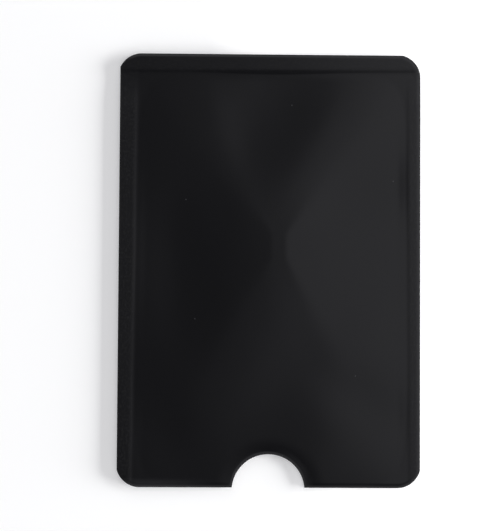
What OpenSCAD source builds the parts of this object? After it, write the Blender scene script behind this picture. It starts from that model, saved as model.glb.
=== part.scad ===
// Card sleeve with a radio shield. Two laminated sheets are bonded to three spacer strips,
// and the fourth side is the mouth, with a thumb notch through both sheets.
// It lies on its back: X across, +Y towards the closed end, +Z up out of the front sheet.
// The origin is on the back face, under the middle of the sleeve. All sizes are in mm.

/* [Card pocket] */
// Width of the card that the pocket takes
card_w = 54; // [40:0.1:90]
// Length of the card
card_l = 85.6; // [60:0.1:130]
// Thickness of the card
card_t = 0.76; // [0.3:0.02:3]
// Room beside the card, across the mouth of the pocket
play_w = 4.95; // [1:0.05:10]
// Room past the ends of a card that is pushed home
play_l = 1.9; // [0.5:0.1:6]
// Room over the card where the front sheet dips lowest
play_t = 0.04; // [0.02:0.01:0.5]

/* [Spacer strips] */
// Width of the left strip at the mouth
left_strip_mouth = 2.35; // [1:0.05:8]
// Width of the left strip at its inner corner with the end strip
left_strip_end = 3; // [1:0.05:8]
// Width of the right strip at the mouth
right_strip_mouth = 1.7; // [1:0.05:8]
// Width of the right strip at its inner corner with the end strip
right_strip_end = 2.15; // [1:0.05:8]
// Width of the end strip at its left inner corner
end_strip_left = 3.3; // [1:0.05:8]
// Width of the end strip at its right inner corner
end_strip_right = 3; // [1:0.05:8]

/* [Layers] */
// Thickness of the outer film of each sheet
film_t = 0.12; // [0.05:0.01:0.5]
// Thickness of the shield foil of each sheet
foil_t = 0.04; // [0.02:0.01:0.2]
// Thickness of the inner liner of each sheet
liner_t = 0.06; // [0.02:0.01:0.3]
// Thickness of the adhesive on each face of a strip
adhesive_t = 0.04; // [0.02:0.01:0.2]

/* [Front sheet] */
// Width of the slope by which the front sheet dips inside the strips
dip_w = 1; // [0.4:0.1:3]
// Depth of the dip below the rim
dip_h = 0.08; // [0.02:0.01:0.3]
// Height of the bow above the bottom of the dip
bow_h = 0.8; // [0.1:0.05:3]
// Top of the bow to the right of the middle
bow_x = 1.9; // [-10:0.1:10]
// Top of the bow towards the closed end, from the middle
bow_y = 5.4; // [-15:0.1:15]

/* [Corners] */
// Radius of the punch that rounds each corner
corner_r = 5; // [3:0.1:8]
// Reach of the punch circle past the left side, at the closed end
end_left_past_side = 0.44; // [0.02:0.01:1]
// Reach of the punch circle past the closed end, on the left
end_left_past_end = 0.02; // [0.02:0.01:1]
// Reach of the punch circle past the right side, at the closed end
end_right_past_side = 0.05; // [0.02:0.01:1]
// Reach of the punch circle past the closed end, on the right
end_right_past_end = 0.16; // [0.02:0.01:1]
// Reach of the punch circle past the left side, at the mouth
mouth_left_past_side = 0.2; // [0.02:0.01:1]
// Reach of the punch circle past the mouth edge, on the left
mouth_left_past_end = 0.02; // [0.02:0.01:1]
// Reach of the punch circle past the right side, at the mouth
mouth_right_past_side = 0.19; // [0.02:0.01:1]
// Reach of the punch circle past the mouth edge, on the right
mouth_right_past_end = 0.02; // [0.02:0.01:1]

/* [Thumb notch] */
// Radius of the notch
notch_r = 7.57; // [4:0.01:15]
// Distance of the notch's centre outside the mouth edge
notch_out = 0.68; // [0:0.01:3]
// Distance of the notch's centre to the right of the middle
notch_x = -0.08; // [-3:0.01:3]

/* [Hidden] */
$fn = 96;

// Half of the sleeve's width and length
half_w = (left_strip_mouth + play_w + card_w + right_strip_mouth) / 2;
half_l = (card_l + play_l + end_strip_right) / 2;

// The pocket leaves the card its play at the bottom of the dip
strip_t = card_t + play_t + dip_h - 2 * adhesive_t;

// Levels of the layers at the rim, from the back face up
back_film_top = film_t;
back_foil_top = back_film_top + foil_t;
back_liner_top = back_foil_top + liner_t;
strip_low = back_liner_top + adhesive_t;
strip_high = strip_low + strip_t;
front_liner_low = strip_high + adhesive_t;
front_foil_low = front_liner_low + liner_t;
front_film_low = front_foil_low + foil_t;
rim_top = front_film_low + film_t;

// How far cutting shapes run past the sheets
cut_past = 1;

// Inner corners of the strips: mouth left, mouth right, end right, end left
strip_corners = [
    [left_strip_mouth - half_w, -half_l],
    [half_w - right_strip_mouth, -half_l],
    [half_w - right_strip_end, half_l - end_strip_right],
    [left_strip_end - half_w, half_l - end_strip_left]
];

// The end strip's inner edge as a line, at any x
end_edge_slope = (strip_corners[2].y - strip_corners[3].y) / (strip_corners[2].x - strip_corners[3].x);
function end_edge_y(x) = strip_corners[3].y + end_edge_slope * (x - strip_corners[3].x);

// Waste that the corner punch removes. side and end are -1 or 1 and choose the corner
module corner_waste(side, end, past_side, past_end) {
    centre = [side * (half_w - corner_r + past_side), end * (half_l - corner_r + past_end)];
    reach = corner_r + cut_past;
    translate(centre)
        difference() {
            translate([side > 0 ? 0 : -reach, end > 0 ? 0 : -reach]) square(reach);
            circle(corner_r);
        }
}

// All that the punches remove from the cut rectangle
module punch_waste() {
    corner_waste(-1, 1, end_left_past_side, end_left_past_end);
    corner_waste(1, 1, end_right_past_side, end_right_past_end);
    corner_waste(-1, -1, mouth_left_past_side, mouth_left_past_end);
    corner_waste(1, -1, mouth_right_past_side, mouth_right_past_end);
    translate([notch_x, -half_l - notch_out]) circle(notch_r);
}

// A flat layer between two levels, cut to the sleeve's outline
module flat_layer(low, high) {
    translate([0, 0, low])
        linear_extrude(high - low)
            difference() {
                square([2 * half_w, 2 * half_l], center = true);
                punch_waste();
            }
}

// A flat piece of strip between two levels, cut to the sleeve's outline
module strip_layer(points, low, high) {
    translate([0, 0, low])
        linear_extrude(high - low)
            difference() {
                polygon(points);
                punch_waste();
            }
}

// Plan of each strip. The side strips butt against the end strip
left_plan = [
    [-half_w, -half_l], strip_corners[0], strip_corners[3], [-half_w, end_edge_y(-half_w)]
];
right_plan = [
    strip_corners[1], [half_w, -half_l], [half_w, end_edge_y(half_w)], strip_corners[2]
];
end_plan = [
    [-half_w, end_edge_y(-half_w)], [half_w, end_edge_y(half_w)], [half_w, half_l], [-half_w, half_l]
];

// The front sheet's shape as points [x, y, rise above the rim]: the cut rectangle, the inner
// edge of the strips, the bottom of the dip, and the top of the bow
relief_points = [
    [-half_w, -half_l, 0], [half_w, -half_l, 0], [half_w, half_l, 0], [-half_w, half_l, 0],
    for (corner = strip_corners) [corner.x, corner.y, 0],
    for (i = [0:3]) [
        strip_corners[i].x + (i == 0 || i == 3 ? dip_w : -dip_w),
        strip_corners[i].y - (i < 2 ? 0 : dip_w),
        -dip_h
    ],
    [bow_x, bow_y, bow_h - dip_h]
];

// A layer of the front sheet whose two faces follow the relief at two levels
module relief_layer(low, high) {
    point_count = len(relief_points);
    points = [
        for (p = relief_points) [p.x, p.y, high + p.z],
        for (p = relief_points) [p.x, p.y, low + p.z]
    ];
    // Triangles seen from above, by point: rim, slopes of the dip, then the four bow faces
    upper = [
        [0, 3, 7], [0, 7, 4], [3, 2, 6], [3, 6, 7], [2, 1, 5], [2, 5, 6],
        [4, 7, 11], [4, 11, 8], [7, 6, 10], [7, 10, 11], [6, 5, 9], [6, 9, 10],
        [8, 11, 12], [11, 10, 12], [10, 9, 12], [9, 8, 12]
    ];
    // Points round the edge, from the mouth's left corner along the mouth and back
    edge = [0, 4, 8, 9, 5, 1, 2, 3];
    faces = [
        for (f = upper) f,
        for (f = upper) [f[2] + point_count, f[1] + point_count, f[0] + point_count],
        for (i = [0:len(edge) - 1])
            let (here = edge[i], there = edge[(i + 1) % len(edge)])
                each [
                    [here, there, here + point_count],
                    [there, there + point_count, here + point_count]
                ]
    ];
    difference() {
        polyhedron(points, faces);
        translate([0, 0, low - dip_h - cut_past])
            linear_extrude(high - low + dip_h + bow_h + 2 * cut_past) punch_waste();
    }
}

// Black glossy film on the front
module front_outer_film() { color("#1c1c1e") relief_layer(front_film_low, rim_top); }

// Aluminium foil behind the front film
module front_shield_foil() { color("#c4c6ca") relief_layer(front_foil_low, front_film_low); }

// Thin clear film over the foil, which the card slides on
module front_inner_liner() { color("#a8aaae") relief_layer(front_liner_low, front_foil_low); }

// Adhesive between the strips and the front sheet
module left_front_adhesive() { color("#3c3b36") strip_layer(left_plan, strip_high, front_liner_low); }
module right_front_adhesive() { color("#3c3b36") strip_layer(right_plan, strip_high, front_liner_low); }
module end_front_adhesive() { color("#3c3b36") strip_layer(end_plan, strip_high, front_liner_low); }

// Black strips that hold the two sheets apart on three sides
module left_spacer_strip() { color("#232326") strip_layer(left_plan, strip_low, strip_high); }
module right_spacer_strip() { color("#232326") strip_layer(right_plan, strip_low, strip_high); }
module end_spacer_strip() { color("#232326") strip_layer(end_plan, strip_low, strip_high); }

// Adhesive between the strips and the back sheet
module left_back_adhesive() { color("#3c3b36") strip_layer(left_plan, back_liner_top, strip_low); }
module right_back_adhesive() { color("#3c3b36") strip_layer(right_plan, back_liner_top, strip_low); }
module end_back_adhesive() { color("#3c3b36") strip_layer(end_plan, back_liner_top, strip_low); }

// Thin clear film over the back foil
module back_inner_liner() { color("#a8aaae") flat_layer(back_foil_top, back_liner_top); }

// Aluminium foil of the back sheet
module back_shield_foil() { color("#c4c6ca") flat_layer(back_film_top, back_foil_top); }

// Black film that the sleeve lies on
module back_outer_film() { color("#1c1c1e") flat_layer(0, back_film_top); }

front_outer_film();
front_shield_foil();
front_inner_liner();
left_front_adhesive();
right_front_adhesive();
end_front_adhesive();
left_spacer_strip();
right_spacer_strip();
end_spacer_strip();
left_back_adhesive();
right_back_adhesive();
end_back_adhesive();
back_inner_liner();
back_shield_foil();
back_outer_film();
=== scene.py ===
import logging
import math
from dataclasses import dataclass, replace
from enum import Enum

import bpy
import numpy as np
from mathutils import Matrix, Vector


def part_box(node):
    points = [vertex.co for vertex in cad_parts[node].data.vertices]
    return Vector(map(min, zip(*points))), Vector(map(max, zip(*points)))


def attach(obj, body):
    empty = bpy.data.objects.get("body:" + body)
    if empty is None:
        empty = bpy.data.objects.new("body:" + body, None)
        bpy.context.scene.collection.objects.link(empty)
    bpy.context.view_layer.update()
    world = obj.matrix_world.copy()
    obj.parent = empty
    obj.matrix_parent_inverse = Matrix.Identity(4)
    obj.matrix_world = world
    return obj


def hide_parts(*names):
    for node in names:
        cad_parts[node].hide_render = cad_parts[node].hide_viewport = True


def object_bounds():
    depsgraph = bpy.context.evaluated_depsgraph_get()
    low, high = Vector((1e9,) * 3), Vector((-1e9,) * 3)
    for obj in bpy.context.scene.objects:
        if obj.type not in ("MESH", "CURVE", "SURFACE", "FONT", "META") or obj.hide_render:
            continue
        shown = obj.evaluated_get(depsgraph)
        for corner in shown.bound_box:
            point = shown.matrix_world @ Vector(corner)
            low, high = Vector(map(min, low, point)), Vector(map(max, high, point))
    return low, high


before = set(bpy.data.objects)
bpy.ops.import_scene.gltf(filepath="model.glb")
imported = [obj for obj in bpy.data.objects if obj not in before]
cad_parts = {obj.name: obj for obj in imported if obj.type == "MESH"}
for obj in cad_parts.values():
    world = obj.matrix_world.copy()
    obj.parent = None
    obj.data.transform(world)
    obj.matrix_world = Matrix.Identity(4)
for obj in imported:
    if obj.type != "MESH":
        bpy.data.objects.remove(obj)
CAD_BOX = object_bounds()

# Sizes below are in millimetres. Meshes are written in metres.
MM = 0.001
BODY = "root"
# Faces that meet at a larger angle, in degrees, are shaded with a crisp edge
CRISP_ANGLE = 40
# Most of the values that a noise texture takes lie in this span
NOISE_SPAN = (0.3, 0.7)
# How strongly each finer octave of a noise texture counts
NOISE_ROUGHNESS = 0.55
# Numbers of a Mix node's inputs: its share, its two values and its two colours
SHARE, VALUE_A, VALUE_B, COLOUR_A, COLOUR_B = 0, 2, 3, 6, 7
# Number of a Mix node's output for colours
COLOUR_OUT = 2
Socket = bpy.types.NodeSocket
log = logging.getLogger("card_sleeve")


class Side(Enum):
    """The three sealed sides of the sleeve, named as the nodes name them."""

    LEFT = "left"
    RIGHT = "right"
    END = "end"


class Sheet(Enum):
    """The two sheets that are bonded together round the rim."""

    FRONT = "front"
    BACK = "back"


def node_box(node: str) -> np.ndarray:
    """Gives a node's box in millimetres.

    Args:
        node: Name of the node.

    Returns:
        Two rows, the lowest and the highest corner.
    """
    return np.array([list(corner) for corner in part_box(node)]) / MM


def smooth_step(share: np.ndarray) -> np.ndarray:
    """Rises from 0 to 1 as 3t^2 - 2t^3, with t the share held between 0 and 1.

    Args:
        share: Position across the step.

    Returns:
        Height of the step.
    """
    t = np.clip(share, 0.0, 1.0)
    return t * t * (3.0 - 2.0 * t)


def spread(low: float, high: float, step: float) -> np.ndarray:
    """Gives even positions between two ends.

    Args:
        low: First position.
        high: Last position.
        step: Largest distance between two positions.

    Returns:
        Rising positions.
    """
    return np.linspace(low, high, max(2, math.ceil((high - low) / step) + 1))


@dataclass(frozen=True)
class CornerPunch:
    """One corner of the cut outline, and how far the punch circle overshoots it on both edges.

    side is -1 on the left and 1 on the right, end is -1 at the mouth and 1 at the closed end.
    """

    side: int
    end: int
    past_side: float
    past_end: float


@dataclass(frozen=True)
class Outline:
    """The die-cut outline: a rectangle with four punched corners and a round thumb notch.

    The mouth edge is at low Y and the closed end at high Y. The notch circle's centre lies
    notch_out past the mouth edge, and inset moves every cut edge inwards.
    """

    half_width: float
    half_length: float
    corner_radius: float = 5.0
    punches: tuple[CornerPunch, ...] = (
        CornerPunch(-1, 1, 0.44, 0.02),
        CornerPunch(1, 1, 0.05, 0.16),
        CornerPunch(-1, -1, 0.20, 0.02),
        CornerPunch(1, -1, 0.19, 0.02),
    )
    notch_radius: float = 7.57
    notch_out: float = 0.68
    notch_x: float = -0.08
    inset: float = 0.0
    # Step along the notch circle, in fine steps of the grid
    notch_step: float = 1.6
    # Columns over the rim lie this many fine steps times t^2 from the side, with t rising evenly
    side_unit: float = 0.3

    def centre(self, punch: CornerPunch) -> tuple[float, float]:
        """Gives the centre of a corner's punch circle.

        Args:
            punch: The corner.

        Returns:
            X and Y of the centre.
        """
        return (
            punch.side * (self.half_width - self.corner_radius + punch.past_side),
            punch.end * (self.half_length - self.corner_radius + punch.past_end),
        )

    def drawn_in(self, inset: float) -> "Outline":
        """Gives the same outline with every cut edge moved inwards by inset."""
        return replace(self, inset=inset)

    def end_edge(self, x: np.ndarray, end: int) -> np.ndarray:
        """Gives the Y of the cut edge at the mouth (end -1) or at the closed end (end 1).

        The edge is straight at half the length. Outside a corner's centre it is lowered to the
        punch circle, and over the notch the mouth edge is raised to the notch circle.

        Args:
            x: Positions across the sleeve.
            end: Which end, -1 or 1.

        Returns:
            Y of the edge at each x.
        """
        reach = np.full_like(x, self.half_length - self.inset)
        radius = self.corner_radius - self.inset
        for punch in (p for p in self.punches if p.end == end):
            across, along = self.centre(punch)
            beyond = punch.side * (x - across)
            arc = abs(along) + np.sqrt(np.maximum(radius**2 - beyond**2, 0.0))
            reach = np.where(beyond > 0.0, np.minimum(reach, arc), reach)
        if end < 0:
            inner = self.notch_radius + self.inset
            drop = np.sqrt(np.maximum(inner**2 - (x - self.notch_x) ** 2, 0.0)) - self.notch_out
            reach = np.minimum(reach, self.half_length - drop)
        return end * reach

    def edge_distance(self, x: np.ndarray, y: np.ndarray) -> np.ndarray:
        """Gives the distance from each point to the nearest cut edge.

        It is the least of the distances to the four sides, to the punch circle beyond each
        corner's centre and to the notch circle.

        Args:
            x: Positions across the sleeve.
            y: Positions along the sleeve.

        Returns:
            Distance of each point, positive inside the outline.
        """
        distance = np.minimum(self.half_width - np.abs(x), self.half_length - np.abs(y))
        for punch in self.punches:
            across, along = self.centre(punch)
            beyond = (punch.side * (x - across) > 0) & (punch.end * (y - along) > 0)
            arc = self.corner_radius - np.hypot(x - across, y - along)
            distance = np.where(beyond, np.minimum(distance, arc), distance)
        return np.minimum(distance, self.notch_distance(x, y)) - self.inset

    def notch_distance(self, x: np.ndarray, y: np.ndarray) -> np.ndarray:
        """Gives the distance from each point to the notch circle, positive outside it."""
        return np.hypot(x - self.notch_x, y + self.half_length + self.notch_out) - self.notch_radius

    def columns(self, fine: float, coarse: float, rim: float) -> np.ndarray:
        """Gives the X positions of the grid's columns.

        They follow the notch circle by angle. Over the rim on both sides their distance from the
        side grows with a square, and between they are coarse steps apart.

        Args:
            fine: Mean step over the rim.
            coarse: Step elsewhere.
            rim: Width of the fine bands from each side.

        Returns:
            Rising positions.
        """
        side = self.half_width - self.inset
        radius = self.notch_radius + self.inset
        half_turn = math.acos((self.notch_out + self.inset) / radius)
        turns = spread(-half_turn, half_turn, fine / radius * self.notch_step)
        notch = self.notch_x + radius * np.sin(turns)
        unit = fine * self.side_unit
        bands = side - unit * np.linspace(0, math.sqrt(rim / unit), math.ceil(rim / fine)) ** 2
        bands = bands[bands > side - rim]
        middle = spread(-side + rim, side - rim, coarse)
        middle = middle[(middle < notch[0] - coarse / 2) | (middle > notch[-1] + coarse / 2)]
        return np.unique(np.concatenate([-bands, middle, notch, bands]))


@dataclass(frozen=True)
class Levels:
    """Heights of the layers at the rim, and their thicknesses, as the solids have them."""

    film: float
    foil: float
    liner: float
    strip_low: float
    strip_high: float
    rim_top: float

    @classmethod
    def from_frame(cls) -> "Levels":
        """Reads the heights from the boxes of the flat nodes.

        Returns:
            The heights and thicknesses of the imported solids.
        """
        film, foil, liner = (
            node_box(f"back_{layer}") for layer in ("outer_film", "shield_foil", "inner_liner")
        )
        strip = node_box("left_spacer_strip")
        front_glue = node_box("left_front_adhesive")
        thickness = [float(box[1, 2] - box[0, 2]) for box in (film, foil, liner)]
        return cls(
            *thickness,
            strip_low=float(strip[0, 2]),
            strip_high=float(strip[1, 2]),
            rim_top=float(front_glue[1, 2]) + sum(thickness),
        )

    def depths(self) -> dict[str, tuple[float, float]]:
        """Gives how deep each layer lies below its sheet's outer face.

        Returns:
            Depth of the outer and inner face, by the layer's name.
        """
        return {
            "outer_film": (0.0, self.film),
            "shield_foil": (self.film, self.film + self.foil),
            "inner_liner": (self.film + self.foil, self.film + self.foil + self.liner),
        }


@dataclass(frozen=True)
class Rim:
    """Inner edges of the spacer strips, which the front sheet dips along. Each strip's width is
    given at both of its ends."""

    half_width: float
    half_length: float
    left_mouth: float = 2.35
    left_end: float = 3.0
    right_mouth: float = 1.7
    right_end: float = 2.15
    end_left: float = 3.3
    end_right: float = 3.0

    def end_edge(self, x: np.ndarray) -> np.ndarray:
        """Gives the Y of the end strip's inner edge, a straight line across the sleeve.

        Args:
            x: Positions across the sleeve.

        Returns:
            Y of the edge at each x.
        """
        left = self.left_end - self.half_width
        right = self.half_width - self.right_end
        share = (x - left) / (right - left)
        return self.half_length - self.end_left + share * (self.end_left - self.end_right)

    def side_edge(self, y: np.ndarray, side: Side) -> np.ndarray:
        """Gives the X of a side strip's inner edge, a straight line along the sleeve.

        Args:
            y: Positions along the sleeve.
            side: The left or the right strip.

        Returns:
            X of the edge at each y.
        """
        mouth, end, last = (
            (self.left_mouth, self.left_end, self.end_left)
            if side is Side.LEFT
            else (self.right_mouth, self.right_end, self.end_right)
        )
        share = (y + self.half_length) / (2 * self.half_length - last)
        width = mouth + share * (end - mouth)
        return width - self.half_width if side is Side.LEFT else self.half_width - width

    def inside(self, x: np.ndarray, y: np.ndarray) -> dict[Side, np.ndarray]:
        """Gives how far inside each strip's inner edge a point lies.

        Args:
            x: Positions across the sleeve.
            y: Positions along the sleeve.

        Returns:
            Distance past each strip's edge, negative over the strip.
        """
        return {
            Side.LEFT: x - self.side_edge(y, Side.LEFT),
            Side.RIGHT: self.side_edge(y, Side.RIGHT) - x,
            Side.END: self.end_edge(x) - y,
        }

    def free_way(self, x: np.ndarray, y: np.ndarray) -> np.ndarray:
        """Gives how far inside the nearest strip's inner edge a point lies."""
        return np.minimum.reduce(list(self.inside(x, y).values()))


@dataclass(frozen=True)
class Swell:
    """A shallow wave in the free sheet: a rounded ridge or hollow of some length and width."""

    x: float
    y: float
    turn: float
    long: float
    wide: float
    height: float

    def rise(self, x: np.ndarray, y: np.ndarray) -> np.ndarray:
        """Gives the wave's height, as height * exp(-(along/long)^2 - (across/wide)^2).

        The long way is turned by turn degrees from X.

        Args:
            x: Positions across the sleeve.
            y: Positions along the sleeve.

        Returns:
            Rise of the sheet at each point.
        """
        angle = math.radians(self.turn)
        along = (x - self.x) * math.cos(angle) + (y - self.y) * math.sin(angle)
        across = (y - self.y) * math.cos(angle) - (x - self.x) * math.sin(angle)
        return self.height * np.exp(-((along / self.long) ** 2) - (across / self.wide) ** 2)


# The free sheet's waves: where each lies, which way it runs, and how long, wide and high it is
FREE_SHEET_SWELLS = (
    Swell(-19, 0, 95, 15, 7, -0.31),
    Swell(-1, 31, 60, 19, 12, -0.30),
    Swell(19.5, -27, -38, 8.5, 6, -0.17),
    Swell(16.5, 16.5, 17, 12, 8, -0.22),
    Swell(-9, 22, -71, 27, 4.5, 0.045),
    Swell(0, -32, 58, 30, 10.5, -0.20),
    Swell(-21, -35, 5, 6, 8.5, -0.14),
    Swell(8, 27.5, 55, 10.5, 5.5, 0.09),
)


@dataclass(frozen=True)
class Relief:
    """Shape of a sheet's outer face, as a rise above the plane of its rim."""

    outline: Outline
    rim: Rim
    # Dips beside the side strips: their width, their depth on both sides, and how far from the
    # end strip they reach their depth
    dip_width: float = 1.0
    dip_left: float = 0.045
    dip_right: float = 0.015
    side_start: float = 8.0
    # Groove along the end strip: its depth, its width, how far it starts over the strip, and
    # how far it runs out
    groove_depth: float = 0.21
    groove_width: float = 1.3
    groove_lead: float = 0.55
    groove_tail: float = 8.0
    # Bow: its height, the place of its top, how crisp its ridges are and how round its tip is
    bow_height: float = 0.75
    bow_x: float = 1.9
    bow_y: float = 5.4
    ridge_power: float = 9.0
    tip_round: float = 0.06
    # Cut edge, turned down by the die, except on the left, where it fades out within flat_cut
    roll_width: float = 0.95
    roll_height: float = 0.13
    flat_cut: float = 3.0
    # Droop of the sheet round the notch
    droop_width: float = 4.0
    droop_height: float = 0.12
    # Waves of the free sheet, and how far from the strips they reach their height
    swells: tuple[Swell, ...] = ()
    wave_fade: float = 3.0
    # Painted highlight, a paler colour in place of the rolled edge's glint: its reach at the mouth
    # edge, where it starts and how it grows to the left of the middle, and its reach at the notch
    mouth_glint: float = 2.0
    glint_from: float = 8.0
    glint_fade: float = 16.0
    notch_glint: float = 1.8

    def roll(self, x: np.ndarray, y: np.ndarray) -> np.ndarray:
        """Gives how far the cut edge is turned down.

        It is a parabola that is deepest at the edge and ends one roll width inside it. The left
        side was cut flat, so the roll fades out there.

        Args:
            x: Positions across the sleeve.
            y: Positions along the sleeve.

        Returns:
            Depth at each point.
        """
        share = np.clip(1.0 - self.outline.edge_distance(x, y) / self.roll_width, 0.0, 1.0)
        fade = smooth_step((x + self.outline.half_width) / self.flat_cut)
        return self.roll_height * share**2 * fade

    def dip(self, x: np.ndarray, y: np.ndarray) -> np.ndarray:
        """Gives how far the free sheet lies below the rim.

        One smooth step for each strip carries the sheet down from the rim, and the depth is
        shared out from left to right. A groove along the end strip is added, with one smooth
        step down into it and a long one out of it. It runs from side to side, so it crosses the
        ends of the side strips too.

        Args:
            x: Positions across the sleeve.
            y: Positions along the sleeve.

        Returns:
            Depth at each point.
        """
        inside = self.rim.inside(x, y)
        past_end = inside[Side.END] + self.groove_lead
        end_step = smooth_step(past_end / (self.groove_width + self.groove_lead))
        steps = smooth_step(inside[Side.LEFT] / self.dip_width)
        steps = steps * smooth_step(inside[Side.RIGHT] / self.dip_width)
        share = np.clip(x / self.outline.half_width / 2 + 0.5, 0.0, 1.0)
        sides = self.dip_left + share * (self.dip_right - self.dip_left)
        sides = sides * steps * smooth_step(past_end / self.side_start)
        groove = 1.0 - smooth_step((past_end - self.groove_width) / self.groove_tail)
        return end_step * (sides + self.groove_depth * groove)

    def bow(self, x: np.ndarray, y: np.ndarray) -> np.ndarray:
        """Gives the bow of the free sheet: a low four-sided hip with softened ridges.

        u and v are the shares of the way from the top of the bow to the strips across and
        along the sleeve. The height is 1 - (|u|^p + |v|^p + t^p)^(1/p), brought to 1 at the
        top, so a high power p keeps the ridges crisp and t rounds the tip.

        Args:
            x: Positions across the sleeve.
            y: Positions along the sleeve.

        Returns:
            Height at each point.
        """
        left = self.bow_x - self.rim.side_edge(y, Side.LEFT) - self.dip_width
        right = self.rim.side_edge(y, Side.RIGHT) - self.dip_width - self.bow_x
        end = self.rim.end_edge(x) - self.dip_width - self.bow_y
        mouth = self.outline.half_length + self.bow_y
        u = np.where(x < self.bow_x, (self.bow_x - x) / left, (x - self.bow_x) / right)
        v = np.where(y < self.bow_y, (self.bow_y - y) / mouth, (y - self.bow_y) / end)
        power, tip = self.ridge_power, self.tip_round
        far = (np.abs(u) ** power + np.abs(v) ** power + tip**power) ** (1.0 / power)
        share = np.clip((1.0 - far) / (1.0 - tip), 0.0, None)
        return self.bow_height * share * smooth_step(self.rim.free_way(x, y) / self.dip_width)

    def droop(self, x: np.ndarray, y: np.ndarray) -> np.ndarray:
        """Gives how far the sheet hangs down, as a wide parabola deepest at the notch's edge."""
        near = self.outline.notch_distance(x, y) / self.droop_width
        return self.droop_height * np.clip(1.0 - near, 0.0, 1.0) ** 2

    def rise(self, x: np.ndarray, y: np.ndarray) -> np.ndarray:
        """Gives the whole shape: the bow and the swells, less the dip, the roll and the droop.

        Args:
            x: Positions across the sleeve.
            y: Positions along the sleeve.

        Returns:
            Rise above the plane of the rim at each point.
        """
        free = smooth_step(self.rim.free_way(x, y) / self.wave_fade)
        waves = sum((swell.rise(x, y) for swell in self.swells), np.zeros_like(x))
        return self.bow(x, y) + waves * free - self.dip(x, y) - self.roll(x, y) - self.droop(x, y)

    def painted_glint(self, x: np.ndarray, y: np.ndarray) -> np.ndarray:
        """Gives the share of a painted highlight, a paler colour that stands in for the glint of
        the rolled edge.

        It lies along the left part of the mouth edge and on the right side of the notch, and fades
        out evenly inwards.

        Args:
            x: Positions across the sleeve.
            y: Positions along the sleeve.

        Returns:
            A share from 0 to 1 at each point.
        """
        mouth = np.clip(1.0 - (y + self.outline.half_length) / self.mouth_glint, 0.0, 1.0)
        left = smooth_step((-x - self.glint_from) / self.glint_fade)
        notch = np.clip(1.0 - self.outline.notch_distance(x, y) / self.notch_glint, 0.0, 1.0)
        right = smooth_step((x - self.outline.notch_x) / self.outline.notch_radius)
        return np.maximum(mouth * left, notch * right)


def skin(name: str, upper: np.ndarray, lower: np.ndarray) -> bpy.types.Object:
    """Makes a closed layer from two grids of points that share their plan.

    Both grids run with X along the first axis and Y along the second. Each cell of the upper
    grid is a face that looks up and each cell of the lower grid one that looks down, and the
    wall joins the two round the border.

    Args:
        name: Name of the piece.
        upper: Points of the upper face in millimetres, shaped (columns, rows, 3).
        lower: Points of the lower face, shaped the same.

    Returns:
        The new object.
    """
    columns, rows = upper.shape[:2]
    below = columns * rows
    index = np.arange(below).reshape(columns, rows)
    cells = [index[:-1, :-1], index[1:, :-1], index[1:, 1:], index[:-1, 1:]]
    top = np.stack(cells, axis=-1).reshape(-1, 4)
    border = np.concatenate([index[:, 0], index[-1, 1:], index[-2::-1, -1], index[0, -2:0:-1]])
    following = np.roll(border, -1)
    walls = np.stack([border + below, following + below, following, border], axis=-1)
    faces = np.concatenate([top, top[:, ::-1] + below, walls])
    points = np.concatenate([upper.reshape(-1, 3), lower.reshape(-1, 3)]) * MM
    mesh = bpy.data.meshes.new(name)
    mesh.vertices.add(len(points))
    mesh.vertices.foreach_set("co", points.astype(np.float32).ravel())
    mesh.loops.add(faces.size)
    mesh.loops.foreach_set("vertex_index", faces.astype(np.int32).ravel())
    mesh.polygons.add(len(faces))
    mesh.polygons.foreach_set("loop_start", np.arange(0, faces.size, 4, dtype=np.int32))
    mesh.update(calc_edges=True)
    mesh.polygons.foreach_set("use_smooth", np.ones(len(faces), dtype=bool))
    mesh.set_sharp_from_angle(angle=math.radians(CRISP_ANGLE))
    piece = bpy.data.objects.new(name, mesh)
    bpy.context.scene.collection.objects.link(piece)
    return piece


def mark(piece: bpy.types.Object, name: str, values: np.ndarray) -> None:
    """Stores one number for each point of a layer's two grids, for its material to read.

    Args:
        piece: A piece made by skin.
        name: Name of the attribute.
        values: One value for each point of the plan, used above and below.
    """
    stored = piece.data.attributes.new(name, "FLOAT", "POINT")
    stored.data.foreach_set("value", np.tile(values.ravel(), 2).astype(np.float32))


def linear(colour: str) -> tuple[float, float, float, float]:
    """Turns an sRGB hex colour into linear red, green, blue and alpha.

    Args:
        colour: Such as "#1c1c1e".

    Returns:
        Linear values, each from 0 to 1.
    """
    parts = [int(colour[i : i + 2], 16) / 255 for i in (1, 3, 5)]
    curve = [c / 12.92 if c <= 0.04045 else ((c + 0.055) / 1.055) ** 2.4 for c in parts]
    return (*curve, 1.0)


def add_node(tree: bpy.types.NodeTree, kind: str, values: dict) -> bpy.types.Node:
    """Adds a node, sets its properties and inputs, and links the inputs that get a socket.

    Args:
        tree: Node tree of a material or world.
        kind: Blender's identifier of the node.
        values: Property names, or input names or numbers, each with its value or with the
            output socket that feeds it.

    Returns:
        The new node.
    """
    node = tree.nodes.new(kind)
    for key, value in values.items():
        if isinstance(value, Socket):
            tree.links.new(value, node.inputs[key])
        elif isinstance(key, str) and hasattr(node, key):
            setattr(node, key, value)
        else:
            node.inputs[key].default_value = value
    return node


def new_material(name: str) -> tuple[bpy.types.Material, bpy.types.NodeTree]:
    """Makes an empty node material.

    Args:
        name: Name of the material.

    Returns:
        The material and its node tree.
    """
    material = bpy.data.materials.new(name)
    material.use_nodes = True
    material.node_tree.nodes.clear()
    return material, material.node_tree


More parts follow.
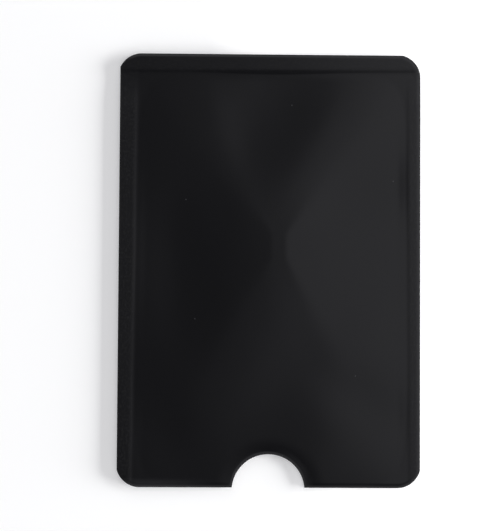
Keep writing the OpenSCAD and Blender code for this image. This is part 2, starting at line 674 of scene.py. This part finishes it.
def grain_pattern(tree: bpy.types.NodeTree, size: tuple[float, ...], octaves: float) -> Socket:
    """Adds a noise pattern whose grains have a real size along X, Y and Z.

    Args:
        tree: Node tree of the material.
        size: Size of a grain in millimetres along each axis.
        octaves: Number of finer octaves.

    Returns:
        The noise value, from 0 to 1.
    """
    place = add_node(tree, "ShaderNodeTexCoord", {}).outputs["Object"]
    scale = tuple(1.0 / (length * MM) for length in size)
    grid = add_node(tree, "ShaderNodeMapping", {"Vector": place, "Scale": scale})
    noise = add_node(
        tree,
        "ShaderNodeTexNoise",
        {
            "Vector": grid.outputs["Vector"],
            "Scale": 1.0,
            "Detail": octaves,
            "Roughness": NOISE_ROUGHNESS,
        },
    )
    return noise.outputs["Fac"]


def dress(tree: bpy.types.NodeTree, inputs: dict) -> None:
    """Adds the Principled shader with its inputs, and the material's output.

    Args:
        tree: Node tree of the material.
        inputs: Names of the shader's inputs, each with its value or the socket that feeds it.
    """
    shader = add_node(tree, "ShaderNodeBsdfPrincipled", inputs)
    add_node(tree, "ShaderNodeOutputMaterial", {"Surface": shader.outputs["BSDF"]})


@dataclass(frozen=True)
class BlackPolyesterFilm:
    """Calendered black polyester film. It is glossy where it hangs free. Where it is pressed
    onto the strips it takes a duller, mottled print. The die-cut edge is a little paler, as cut
    plastic is, and the film has a few specks of dust. A paler colour along the left of the mouth
    edge and the right of the notch is a painted highlight of the rolled edge. The print, the
    hairlines and the specks are finer on the real film, and are drawn as coarse as they need to
    show."""

    dark: str = "#09090b"
    pale: str = "#0b0b0e"
    cut: str = "#1a1a1c"
    # Paler colour of the painted highlight along the rolled edge at the mouth and the notch
    painted_glint_colour: str = "#28282a"
    mottled: str = "#1b1b1c"
    speck: str = "#3c3c3e"
    cut_width: float = 0.35
    mottle: float = 0.45
    mottle_span: tuple[float, float] = (0.48, 0.75)
    speck_spacing: float = 30.0
    speck_radius: float = 0.14
    speck_core: float = 0.6
    free_roughness: tuple[float, float] = (0.09, 0.13)
    bonded_roughness: float = 0.1
    smear: tuple[float, float, float] = (14.0, 22.4, 14.0)
    smear_octaves: float = 3.0
    peel: float = 0.9
    peel_depth: float = 0.0006
    hair: tuple[float, float, float] = (0.12, 9.0, 1.0)
    hair_span: tuple[float, float] = (0.62, 0.8)
    hair_depth: float = 0.0003
    hair_octaves: float = 1.0
    fine_octaves: float = 2.0
    refraction: float = 1.5

    def material(self) -> bpy.types.Material:
        """Builds the material from its colour, its gloss and its fine relief.

        Returns:
            The material.
        """
        material, tree = new_material("black_polyester_film")
        smears = grain_pattern(tree, self.smear, self.smear_octaves)
        # The second attribute is the share of the painted highlight along the rolled edge
        bonded, painted_glint, cut_edge = (
            add_node(tree, "ShaderNodeAttribute", {"attribute_name": name}).outputs["Fac"]
            for name in ("bonded", "painted_glint", "cut_edge")
        )
        inputs = {
            "Base Color": self.colour(tree, smears, bonded, painted_glint, cut_edge),
            "Roughness": self.roughness(tree, smears, bonded),
            "Normal": self.normal(tree),
            "IOR": self.refraction,
        }
        dress(tree, inputs)
        return material

    def colour(
        self,
        tree: bpy.types.NodeTree,
        smears: Socket,
        bonded: Socket,
        painted_glint: Socket,
        cut_edge: Socket,
    ) -> Socket:
        """Mixes the colour: smears of two blacks, and over them the mottled print, a painted
        highlight of the rolled edge, the specks of dust and the pale cut edge.

        Args:
            tree: Node tree of the material.
            smears: Noise that the two blacks follow.
            bonded: Share of the print at a point.
            painted_glint: Share of the painted highlight at a point.
            cut_edge: Distance of a point from the cut edge in millimetres.

        Returns:
            The colour.
        """
        mottle = grain_pattern(tree, (self.mottle,) * 3, self.fine_octaves)
        low, high = self.mottle_span
        grains = add_node(
            tree, "ShaderNodeMapRange", {"Value": mottle, "From Min": low, "From Max": high}
        )
        printed = add_node(
            tree, "ShaderNodeMath", {"operation": "MULTIPLY", 0: bonded, 1: grains.outputs[0]}
        )
        edge = add_node(
            tree,
            "ShaderNodeMapRange",
            {"Value": cut_edge, "From Max": self.cut_width, "To Min": 1.0, "To Max": 0.0},
        )
        covers = (
            (smears, self.pale),
            (printed.outputs[0], self.mottled),
            # Painted highlight: a paler colour where the rolled edge would catch the light
            (painted_glint, self.painted_glint_colour),
            (self.specks(tree), self.speck),
            (edge.outputs[0], self.cut),
        )
        colour = linear(self.dark)
        for share, cover in covers:
            mix = {"data_type": "RGBA", SHARE: share, COLOUR_A: colour, COLOUR_B: linear(cover)}
            colour = add_node(tree, "ShaderNodeMix", mix).outputs[COLOUR_OUT]
        return colour

    def specks(self, tree: bpy.types.NodeTree) -> Socket:
        """Scatters the few specks of dust, one round the centre of each cell of a large grid.

        Args:
            tree: Node tree of the material.

        Returns:
            1 within a speck and 0 elsewhere, with a soft border.
        """
        place = add_node(tree, "ShaderNodeTexCoord", {}).outputs["Object"]
        spacing = {"voronoi_dimensions": "2D", "Scale": 1.0 / (self.speck_spacing * MM)}
        cells = add_node(tree, "ShaderNodeTexVoronoi", spacing | {"Vector": place})
        reach = self.speck_radius / self.speck_spacing
        border = {"From Min": reach * self.speck_core, "From Max": reach, "To Min": 1.0}
        speck = add_node(
            tree,
            "ShaderNodeMapRange",
            border | {"To Max": 0.0, "Value": cells.outputs["Distance"]},
        )
        return speck.outputs[0]

    def roughness(self, tree: bpy.types.NodeTree, smears: Socket, bonded: Socket) -> Socket:
        """Lets the smears vary the gloss of the free film, and dulls the bonded film.

        Args:
            tree: Node tree of the material.
            smears: Noise that the gloss follows.
            bonded: Share of the print at a point.

        Returns:
            The roughness.
        """
        gloss = {"From Min": NOISE_SPAN[0], "From Max": NOISE_SPAN[1], "Value": smears}
        ends = {"To Min": self.free_roughness[0], "To Max": self.free_roughness[1]}
        free = add_node(tree, "ShaderNodeMapRange", gloss | ends).outputs[0]
        dulled = {"operation": "MULTIPLY_ADD", 0: bonded, 1: self.bonded_roughness, 2: free}
        return add_node(tree, "ShaderNodeMath", dulled).outputs[0]

    def normal(self, tree: bpy.types.NodeTree) -> Socket:
        """Moves the normal by a fine orange peel and by hairlines along the sleeve.

        Args:
            tree: Node tree of the material.

        Returns:
            The normal.
        """
        peel = grain_pattern(tree, (self.peel,) * 3, self.fine_octaves)
        hairs = grain_pattern(tree, self.hair, self.hair_octaves)
        low, high = self.hair_span
        lines = add_node(
            tree, "ShaderNodeMapRange", {"Value": hairs, "From Min": low, "From Max": high}
        )
        normal = None
        for height, depth in ((peel, self.peel_depth), (lines.outputs[0], self.hair_depth)):
            relief = {"Height": height, "Strength": 1.0, "Distance": depth * MM}
            relief |= {"Normal": normal} if normal else {}
            normal = add_node(tree, "ShaderNodeBump", relief).outputs[0]
        return normal


@dataclass(frozen=True)
class GrainedFinish:
    """A finish whose grain varies its colour, its gloss and the height of its surface.

    The grain's size is given in millimetres along X, Y and Z, and its depth in millimetres.
    A ripple is the size of a second, even pattern that the height follows in place of the
    grain. Values that are the same all over the piece are in fixed, by the shader's input.
    """

    name: str
    low: str
    high: str
    grain: tuple[float, float, float]
    octaves: float
    depth: float
    roughness: tuple[float, float] | None = None
    fixed: tuple[tuple[str, float], ...] = ()
    ripple: float | None = None
    ripple_octaves: float = 2.0

    def material(self) -> bpy.types.Material:
        """Builds the material.

        Returns:
            The material.
        """
        material, tree = new_material(self.name)
        grain = grain_pattern(tree, self.grain, self.octaves)
        tones = {"data_type": "RGBA", SHARE: grain}
        tones |= {COLOUR_A: linear(self.low), COLOUR_B: linear(self.high)}
        height = grain
        if self.ripple:
            height = grain_pattern(tree, (self.ripple,) * 3, self.ripple_octaves)
        relief = {"Height": height, "Strength": 1.0, "Distance": self.depth * MM}
        inputs = dict(self.fixed)
        inputs["Base Color"] = add_node(tree, "ShaderNodeMix", tones).outputs[COLOUR_OUT]
        inputs["Normal"] = add_node(tree, "ShaderNodeBump", relief).outputs[0]
        if self.roughness:
            gloss = {"From Min": NOISE_SPAN[0], "From Max": NOISE_SPAN[1], "Value": grain}
            gloss |= {"To Min": self.roughness[0], "To Max": self.roughness[1]}
            inputs["Roughness"] = add_node(tree, "ShaderNodeMapRange", gloss).outputs[0]
        dress(tree, inputs)
        return material


@dataclass(frozen=True)
class RolledFoil(GrainedFinish):
    """Rolled aluminium foil: bright metal with fine roll lines along the sleeve, which draw its
    highlights out into streaks. The lines are drawn coarser than the real ones, to show."""

    name: str = "rolled_aluminium_foil"
    low: str = "#c3c6ca"
    high: str = "#d9dbde"
    grain: tuple[float, float, float] = (0.08, 12.0, 1.0)
    octaves: float = 3.0
    depth: float = 0.0008
    roughness: tuple[float, float] = (0.22, 0.36)
    fixed: tuple[tuple[str, float], ...] = (("Metallic", 1.0),)


@dataclass(frozen=True)
class ClearLiner(GrainedFinish):
    """Thin clear polyethylene over foil. It looks satin silver, a little milky, and shows faint
    rub marks along the sleeve, where cards slide. The liner itself ripples a little."""

    name: str = "clear_polyethylene_over_foil"
    low: str = "#9b9ea3"
    high: str = "#b4b7bb"
    grain: tuple[float, float, float] = (0.4, 25.0, 1.0)
    octaves: float = 3.0
    depth: float = 0.001
    roughness: tuple[float, float] = (0.28, 0.42)
    fixed: tuple[tuple[str, float], ...] = (
        ("Metallic", 0.8),
        ("Coat Weight", 0.4),
        ("Coat Roughness", 0.2),
    )
    ripple: float = 1.2


@dataclass(frozen=True)
class StripPlastic(GrainedFinish):
    """Matt black polystyrene strip. Its cut edge has fine upright marks of the die."""

    name: str = "matt_black_polystyrene"
    low: str = "#151517"
    high: str = "#202023"
    grain: tuple[float, float, float] = (0.18, 0.18, 3.0)
    octaves: float = 2.0
    depth: float = 0.008
    roughness: tuple[float, float] = (0.45, 0.6)


@dataclass(frozen=True)
class RimAdhesive(GrainedFinish):
    """Pressure-sensitive acrylic adhesive. It is dark and a little glossy, with tiny lumps."""

    name: str = "acrylic_adhesive"
    low: str = "#191814"
    high: str = "#2c2a24"
    grain: tuple[float, float, float] = (0.3, 0.3, 0.3)
    octaves: float = 2.0
    depth: float = 0.006
    fixed: tuple[tuple[str, float], ...] = (("Roughness", 0.38),)


@dataclass
class LaminatedSheet:
    """One sheet of the sleeve: film, foil and liner that follow the same relief."""

    sheet: Sheet
    relief: Relief
    levels: Levels
    finishes: dict[str, bpy.types.Material]
    # Grid: its steps, the width of its fine band along each edge, and the power by which the
    # rows of that band grow apart
    fine: float = 0.22
    coarse: float = 0.7
    rim_band: float = 6.0
    band_power: float = 1.4
    # Along the end strip the print is weaker: its share there, and where it is whole again
    end_print: float = 0.5
    end_print_from: float = 2.0
    end_print_fade: float = 5.0

    def plan(self) -> tuple[np.ndarray, np.ndarray]:
        """Lays the grid over the sheet: columns across, and in each column rows that start
        fine at the mouth edge, are even in the middle and end fine at the closed end.

        Returns:
            X and Y of each grid point, shaped (columns, rows).
        """
        outline = self.relief.outline
        across = outline.columns(self.fine, self.coarse, self.rim_band)
        low, high = outline.end_edge(across, -1), outline.end_edge(across, 1)
        steps = np.linspace(0, 1, math.ceil(self.rim_band / self.fine))
        band = self.rim_band * steps**self.band_power
        middle = np.linspace(0, 1, math.ceil(2 * outline.half_length / self.coarse))[1:-1]
        length = (high - low)[:, None]
        inner_low, inner_high = self.rim_band / length, 1 - self.rim_band / length
        shares = np.concatenate(
            [
                band[None] / length,
                inner_low + middle[None] * (inner_high - inner_low),
                1 - band[None, ::-1] / length,
            ],
            axis=1,
        )
        x = np.repeat(across[:, None], shares.shape[1], axis=1)
        return x, low[:, None] + shares * length

    def face(self, x: np.ndarray, y: np.ndarray, depth: float) -> np.ndarray:
        """Gives the points of a face, as the relief's rise less a depth, counted outwards.

        Args:
            x: Positions across the sleeve.
            y: Positions along the sleeve.
            depth: Depth of the face below the sheet's outer face.

        Returns:
            Points shaped (columns, rows, 3).
        """
        rise = self.relief.rise(x, y)
        if self.sheet is Sheet.FRONT:
            return np.stack([x, y, self.levels.rim_top + rise - depth], axis=-1)
        return np.stack([x, y, depth - rise], axis=-1)

    def bonded(self, x: np.ndarray, y: np.ndarray) -> np.ndarray:
        """Gives where the film is pressed onto the strips, which fades out within the dip.

        Args:
            x: Positions across the sleeve.
            y: Positions along the sleeve.

        Returns:
            A share from 0 to 1 at each point.
        """
        rim = self.relief.rim
        bonded = 1.0 - smooth_step(rim.free_way(x, y) / self.relief.dip_width)
        past_end = rim.inside(x, y)[Side.END] - self.end_print_from
        whole = smooth_step(past_end / self.end_print_fade)
        return bonded * (self.end_print + (1.0 - self.end_print) * whole)

    def build(self) -> list[bpy.types.Object]:
        """Makes the three layers, each closed and lying face to face with the next.

        Returns:
            The three pieces.
        """
        x, y = self.plan()
        marks = {
            "bonded": self.bonded(x, y),
            "cut_edge": self.relief.outline.edge_distance(x, y),
            # Share of the painted highlight along the rolled edge
            "painted_glint": self.relief.painted_glint(x, y),
        }
        made = []
        for layer, (outer, inner) in self.levels.depths().items():
            faces = [self.face(x, y, outer), self.face(x, y, inner)]
            upper, lower = faces if self.sheet is Sheet.FRONT else faces[::-1]
            node = f"{self.sheet.value}_{layer}"
            piece = skin(f"laminate_{node}", upper, lower)
            for kind, values in marks.items():
                mark(piece, kind, values)
            piece.data.materials.append(self.finishes[layer])
            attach(piece, BODY)
            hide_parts(node)
            made.append(piece)
        return made


@dataclass
class BondedRim:
    """The spacer strips and the adhesive above and below them, between the two sheets."""

    front: Relief
    back: Relief
    levels: Levels
    finishes: dict[str, bpy.types.Material]
    # Grid steps across and along a strip, and how far its cut edge lies inside the sheets' edge
    step: float = 0.25
    long_step: float = 0.8
    recess: float = 0.03

    def plan(self, side: Side) -> tuple[np.ndarray, np.ndarray]:
        """Lays a grid over one strip, between its inner edge and the outline.

        A side strip has columns across its width, and each runs from the mouth edge to the
        end strip. The end strip has columns from side to side, and each runs from its inner
        edge to the cut end.

        Args:
            side: Which strip.

        Returns:
            X and Y of each grid point, shaped (columns, rows).
        """
        outline = self.front.outline.drawn_in(self.recess)
        rim = self.front.rim
        outer = outline.half_width - self.recess
        if side is Side.END:
            across = np.linspace(-outer, outer, math.ceil(2 * outer / self.long_step))
            across = self.along_cut(across, outline)
            low, high = rim.end_edge(across), outline.end_edge(across, 1)
            shares = np.linspace(0, 1, math.ceil(rim.end_left / self.step) + 1)
            x = np.repeat(across[:, None], len(shares), axis=1)
            return x, low[:, None] + shares * (high - low)[:, None]
        sign = -1 if side is Side.LEFT else 1
        rows = math.ceil(2 * outline.half_length / self.long_step)
        shares = (1 - np.cos(np.linspace(0, math.pi, rows))) / 2
        guess = -outline.half_length + shares * (2 * outline.half_length - rim.end_left)
        inner = rim.side_edge(guess, side)
        parts = np.linspace(0, 1, math.ceil(rim.left_end / self.step) + 1)
        edges = (sign * outer, inner) if sign < 0 else (inner, sign * outer)
        x = edges[0] + parts[:, None] * (edges[1] - edges[0])
        low = outline.end_edge(x, -1)
        high = np.minimum(rim.end_edge(x), outline.end_edge(x, 1))
        return x, low + shares[None] * (high - low)

    def along_cut(self, across: np.ndarray, outline: Outline) -> np.ndarray:
        """Draws the end strip's columns in to where its inner edge meets the cut outline.

        Args:
            across: Columns from side to side.
            outline: The outline that the strip is cut to.

        Returns:
            As many columns, evenly spread over the part where the strip has a width.
        """
        line = self.front.rim.end_edge(across)
        open_columns = across[outline.end_edge(across, 1) > line]
        return np.linspace(open_columns[0], open_columns[-1], len(across))

    def build(self) -> list[bpy.types.Object]:
        """Makes each strip with its two layers of adhesive.

        The upper faces follow the front sheet and the lower ones the back sheet's rolled edge,
        so the stack stays closed.

        Returns:
            The nine pieces.
        """
        made = []
        sheet = self.levels.film + self.levels.foil + self.levels.liner
        for side in Side:
            x, y = self.plan(side)
            rise, roll = self.front.rise(x, y), self.back.roll(x, y)
            heights = [
                sheet + roll,
                self.levels.strip_low + roll,
                self.levels.strip_high + rise,
                self.levels.rim_top - sheet + rise,
            ]
            faces = [np.stack([x, y, height], axis=-1) for height in heights]
            for low, kind in enumerate(("back_adhesive", "spacer_strip", "front_adhesive")):
                node = f"{side.value}_{kind}"
                slot = "spacer_strip" if kind == "spacer_strip" else "adhesive"
                piece = skin(f"rim_{node}", faces[low + 1], faces[low])
                piece.data.materials.append(self.finishes[slot])
                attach(piece, BODY)
                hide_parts(node)
                made.append(piece)
        return made


@dataclass(frozen=True)
class Softbox:
    """A rectangular studio light of even brightness that points at the sleeve."""

    name: str
    place: tuple[float, float, float]
    width: float
    height: float
    radiance: float
    colour: str = "#ffffff"

    def build(self) -> bpy.types.Object:
        """Makes the light. Its power is radiance times pi times its area in square metres.

        Returns:
            The lamp.
        """
        light = bpy.data.lights.new(self.name, "AREA")
        light.shape = "RECTANGLE"
        light.size, light.size_y = self.width * MM, self.height * MM
        light.energy = self.radiance * math.pi * light.size * light.size_y
        light.color = linear(self.colour)[:3]
        lamp = bpy.data.objects.new(self.name, light)
        lamp.location = [value * MM for value in self.place]
        lamp.rotation_mode = "QUATERNION"
        lamp.rotation_quaternion = lamp.location.to_track_quat("Z", "Y")
        lamp.visible_camera = False
        bpy.context.scene.collection.objects.link(lamp)
        return lamp


@dataclass(frozen=True)
class Room:
    """The soft light of the room, as brightness by direction.

    A direction is given by its share to the right, ahead and up. Overhead the brightness follows
    a curve from left to right, dim at first and bright past the zenith, and a gap dims it
    towards the mouth. Further out a ring of light is brighter to the right and ahead. Below
    the ceiling the walls are brighter on the left than on the right.
    """

    tint: str = "#fafaff"
    # Brightness overhead by the share to the right
    across: tuple[tuple[float, float], ...] = (
        (-1.0, 0.12),
        (-0.17, 0.12),
        (-0.08, 0.13),
        (-0.015, 0.18),
        (0.03, 0.20),
        (0.06, 0.33),
        (0.09, 0.42),
        (0.14, 0.52),
        (0.20, 0.55),
        (1.0, 0.55),
    )
    # What is left of it by the share ahead
    gap: tuple[tuple[float, float], ...] = (
        (-1.0, 0.45),
        (-0.17, 0.45),
        (-0.11, 1.0),
        (1.0, 1.0),
    )
    # The ring starts and is whole at these distances from the zenith
    ring: tuple[float, float] = (0.35, 0.48)
    ring_level: float = 0.75
    ring_right: float = 0.5
    ring_ahead: float = 0.4
    # The walls end and the ceiling is whole at these shares up
    ceiling: tuple[float, float] = (0.75, 0.87)
    wall_left: float = 0.6
    wall_right: float = 0.0

    def build(self) -> None:
        """Makes the world. The camera sees it white."""
        world = bpy.data.worlds.new("studio_room")
        world.use_nodes = True
        tree = world.node_tree
        tree.nodes.clear()
        way = add_node(tree, "ShaderNodeTexCoord", {}).outputs["Generated"]
        right, ahead, up = add_node(tree, "ShaderNodeSeparateXYZ", {"Vector": way}).outputs
        overhead = self.overhead(tree, way, right, ahead)
        walls = {"Value": right, "From Min": -1.0, "To Min": self.wall_left}
        low = add_node(tree, "ShaderNodeMapRange", walls | {"To Max": self.wall_right}).outputs[0]
        rise = {"Value": up, "From Min": self.ceiling[0], "From Max": self.ceiling[1]}
        height = add_node(tree, "ShaderNodeMapRange", rise).outputs[0]
        seen = add_node(tree, "ShaderNodeLightPath", {}).outputs["Is Camera Ray"]
        strength = low
        for share, value in ((height, overhead), (seen, 1.0)):
            blend = {"data_type": "FLOAT", SHARE: share, VALUE_A: strength, VALUE_B: value}
            strength = add_node(tree, "ShaderNodeMix", blend).outputs[0]
        light = add_node(
            tree, "ShaderNodeBackground", {"Color": linear(self.tint), "Strength": strength}
        )
        add_node(tree, "ShaderNodeOutputWorld", {"Surface": light.outputs[0]})
        bpy.context.scene.world = world

    def overhead(
        self, tree: bpy.types.NodeTree, way: Socket, right: Socket, ahead: Socket
    ) -> Socket:
        """Works out the ceiling: the product of its two curves, and the ring round it.

        Args:
            tree: Node tree of the world.
            way: The direction.
            right: Its share to the right.
            ahead: Its share ahead.

        Returns:
            The brightness.
        """
        product = {"operation": "MULTIPLY"}
        for number, (share, points) in enumerate(((right, self.across), (ahead, self.gap))):
            curve = add_node(tree, "ShaderNodeFloatCurve", {"Value": share})
            curve.mapping.use_clip = False
            line = curve.mapping.curves[0].points
            line[0].location, line[-1].location = points[0], points[-1]
            for point in points[1:-1]:
                line.new(*point)
            curve.mapping.update()
            product[number] = curve.outputs["Value"]
        inner = add_node(tree, "ShaderNodeMath", product).outputs[0]
        ring = self.ring_level
        for share, slope in ((right, self.ring_right), (ahead, self.ring_ahead)):
            lean = {"operation": "MULTIPLY_ADD", 0: share, 1: slope, 2: ring}
            ring = add_node(tree, "ShaderNodeMath", lean).outputs[0]
        level = {"operation": "MULTIPLY", 0: way, 1: (1.0, 1.0, 0.0)}
        flat = add_node(tree, "ShaderNodeVectorMath", level).outputs["Vector"]
        reach = add_node(tree, "ShaderNodeVectorMath", {"operation": "LENGTH", 0: flat})
        start = {"From Min": self.ring[0], "From Max": self.ring[1]}
        outward = add_node(
            tree, "ShaderNodeMapRange", start | {"Value": reach.outputs["Value"]}
        ).outputs[0]
        blend = {"data_type": "FLOAT", SHARE: outward, VALUE_A: inner, VALUE_B: ring}
        return add_node(tree, "ShaderNodeMix", blend).outputs[0]


@dataclass(frozen=True)
class TableTop:
    """A white table top. It takes the sleeve's shadow, and what it lacks to white is added for
    the camera and for reflections only. More is added near the sleeve to the right of a line
    that slants across the table, where the photographed table is clipped to white. It lies a
    hair below the sleeve and is clear from below, so that the sleeve's back can be seen."""

    size: float = 3000.0
    gap: float = 0.01
    colour: str = "#eeeeee"
    lift: float = 0.23
    right_lift: float = 0.22
    # The line runs through the origin and leans to the left by this share of the way along Y
    slant: float = 0.18
    # The lift to the right starts and is whole at these distances past the line
    span: tuple[float, float] = (-4.0, 6.0)
    # It is whole up to the first of these distances from the origin and gone past the second
    reach: tuple[float, float] = (80.0, 160.0)

    def build(self) -> None:
        """Makes the table top as one square face."""
        half, top = self.size / 2 * MM, -self.gap * MM
        corners = [(-half, -half, top), (half, -half, top), (half, half, top), (-half, half, top)]
        mesh = bpy.data.meshes.new("table_top")
        mesh.from_pydata(corners, [], [(0, 1, 2, 3)])
        mesh.materials.append(self.material())
        table = bpy.data.objects.new("table_top", mesh)
        bpy.context.scene.collection.objects.link(table)

    def material(self) -> bpy.types.Material:
        """Builds the material: matt white paint with the lift added.

        Returns:
            The material.
        """
        material, tree = new_material("white_table_top")
        paint = add_node(tree, "ShaderNodeBsdfDiffuse", {"Color": linear(self.colour)})
        glow = add_node(tree, "ShaderNodeEmission", {"Strength": self.glow(tree)})
        both = add_node(tree, "ShaderNodeAddShader", {0: paint.outputs[0], 1: glow.outputs[0]})
        below = add_node(tree, "ShaderNodeNewGeometry", {}).outputs["Backfacing"]
        clear = add_node(tree, "ShaderNodeBsdfTransparent", {})
        surface = add_node(
            tree, "ShaderNodeMixShader", {0: below, 1: both.outputs[0], 2: clear.outputs[0]}
        )
        add_node(tree, "ShaderNodeOutputMaterial", {"Surface": surface.outputs[0]})
        return material

    def glow(self, tree: bpy.types.NodeTree) -> Socket:
        """Works out the light that is added, which only the camera and reflections see.

        Args:
            tree: Node tree of the material.

        Returns:
            Strength of the added light.
        """
        path = add_node(tree, "ShaderNodeLightPath", {}).outputs
        seen = path["Is Camera Ray"]
        for kind in ("Is Glossy Ray", "Is Transmission Ray"):
            either = {"operation": "MAXIMUM", 0: seen, 1: path[kind]}
            seen = add_node(tree, "ShaderNodeMath", either).outputs[0]
        place = add_node(tree, "ShaderNodeTexCoord", {}).outputs["Object"]
        lean = {"operation": "DOT_PRODUCT", 0: place, 1: (1.0, self.slant, 0.0)}
        past = add_node(tree, "ShaderNodeVectorMath", lean).outputs["Value"]
        away = add_node(tree, "ShaderNodeVectorMath", {"operation": "LENGTH", 0: place})
        start, whole = (distance * MM for distance in self.span)
        across = {"Value": past, "From Min": start, "From Max": whole, "To Max": self.right_lift}
        near, gone = (distance * MM for distance in self.reach)
        fade = {"Value": away.outputs["Value"], "From Min": near, "From Max": gone}
        extra = add_node(tree, "ShaderNodeMapRange", across).outputs[0]
        share = add_node(tree, "ShaderNodeMapRange", fade | {"To Min": 1.0, "To Max": 0.0})
        total = {"operation": "MULTIPLY_ADD", 0: extra, 1: share.outputs[0], 2: self.lift}
        level = add_node(tree, "ShaderNodeMath", total).outputs[0]
        only_seen = {"operation": "MULTIPLY", 0: seen, 1: level}
        return add_node(tree, "ShaderNodeMath", only_seen).outputs[0]


@dataclass(frozen=True)
class Studio:
    """The camera of the photograph, a white table top and soft light, mostly from the right.
    A weak softbox past each end casts the soft shadow past the other end."""

    camera_place: tuple[float, float, float] = (-10.06, -11.62, 308.75)
    camera_turn: tuple[float, float, float] = (2.319, -1.084, 0.339)
    lens: float = 100.0
    sensor: float = 36.0
    clip: tuple[float, float] = (10.0, 10000.0)
    table: TableTop = TableTop()
    room: Room = Room()
    # Place, width, height and radiance of each softbox
    lamps: tuple[Softbox, ...] = (
        Softbox("low_side_softbox", (1395.0, -60.0, 290.0), 1000.0, 520.0, 28.5),
        Softbox("mouth_fill_softbox", (0.0, -1300.0, 530.0), 2600.0, 570.0, 1.2),
        Softbox("end_fill_softbox", (0.0, 1300.0, 530.0), 2600.0, 570.0, 1.2),
    )

    def camera(self) -> None:
        """Places the camera, with its turn in degrees and its sensor's long side upright."""
        data = bpy.data.cameras.new("photo_camera")
        data.lens, data.sensor_width = self.lens, self.sensor
        data.clip_start, data.clip_end = (distance * MM for distance in self.clip)
        camera = bpy.data.objects.new("photo_camera", data)
        camera.location = [value * MM for value in self.camera_place]
        camera.rotation_euler = [math.radians(value) for value in self.camera_turn]
        bpy.context.scene.collection.objects.link(camera)
        bpy.context.scene.camera = camera

    def build(self) -> None:
        """Makes the camera, table top, room and lamps."""
        self.camera()
        self.table.build()
        self.room.build()
        for lamp in self.lamps:
            lamp.build()


def main() -> None:
    """Builds the studio and the sleeve, and reports each piece."""
    logging.basicConfig(level=logging.INFO, format="%(message)s")
    bpy.context.scene.view_settings.view_transform = "Standard"
    Studio().build()
    half_width, half_length = (float(value) / MM for value in list(CAD_BOX[1])[:2])
    outline = Outline(half_width, half_length)
    rim = Rim(half_width, half_length)
    levels = Levels.from_frame()
    finishes = {
        "outer_film": BlackPolyesterFilm().material(),
        "shield_foil": RolledFoil().material(),
        "inner_liner": ClearLiner().material(),
        "spacer_strip": StripPlastic().material(),
        "adhesive": RimAdhesive().material(),
    }
    front = Relief(outline, rim, swells=FREE_SHEET_SWELLS)
    back = Relief(
        outline,
        rim,
        dip_left=0.0,
        dip_right=0.0,
        groove_depth=0.0,
        bow_height=0.0,
        roll_height=0.04,
        roll_width=0.5,
        droop_height=0.0,
    )
    pieces = LaminatedSheet(Sheet.FRONT, front, levels, finishes).build()
    pieces += BondedRim(front, back, levels, finishes).build()
    pieces += LaminatedSheet(Sheet.BACK, back, levels, finishes).build()
    for piece in pieces:
        log.info("%s: %d faces", piece.name, len(piece.data.polygons))


if __name__ == "__main__":
    main()
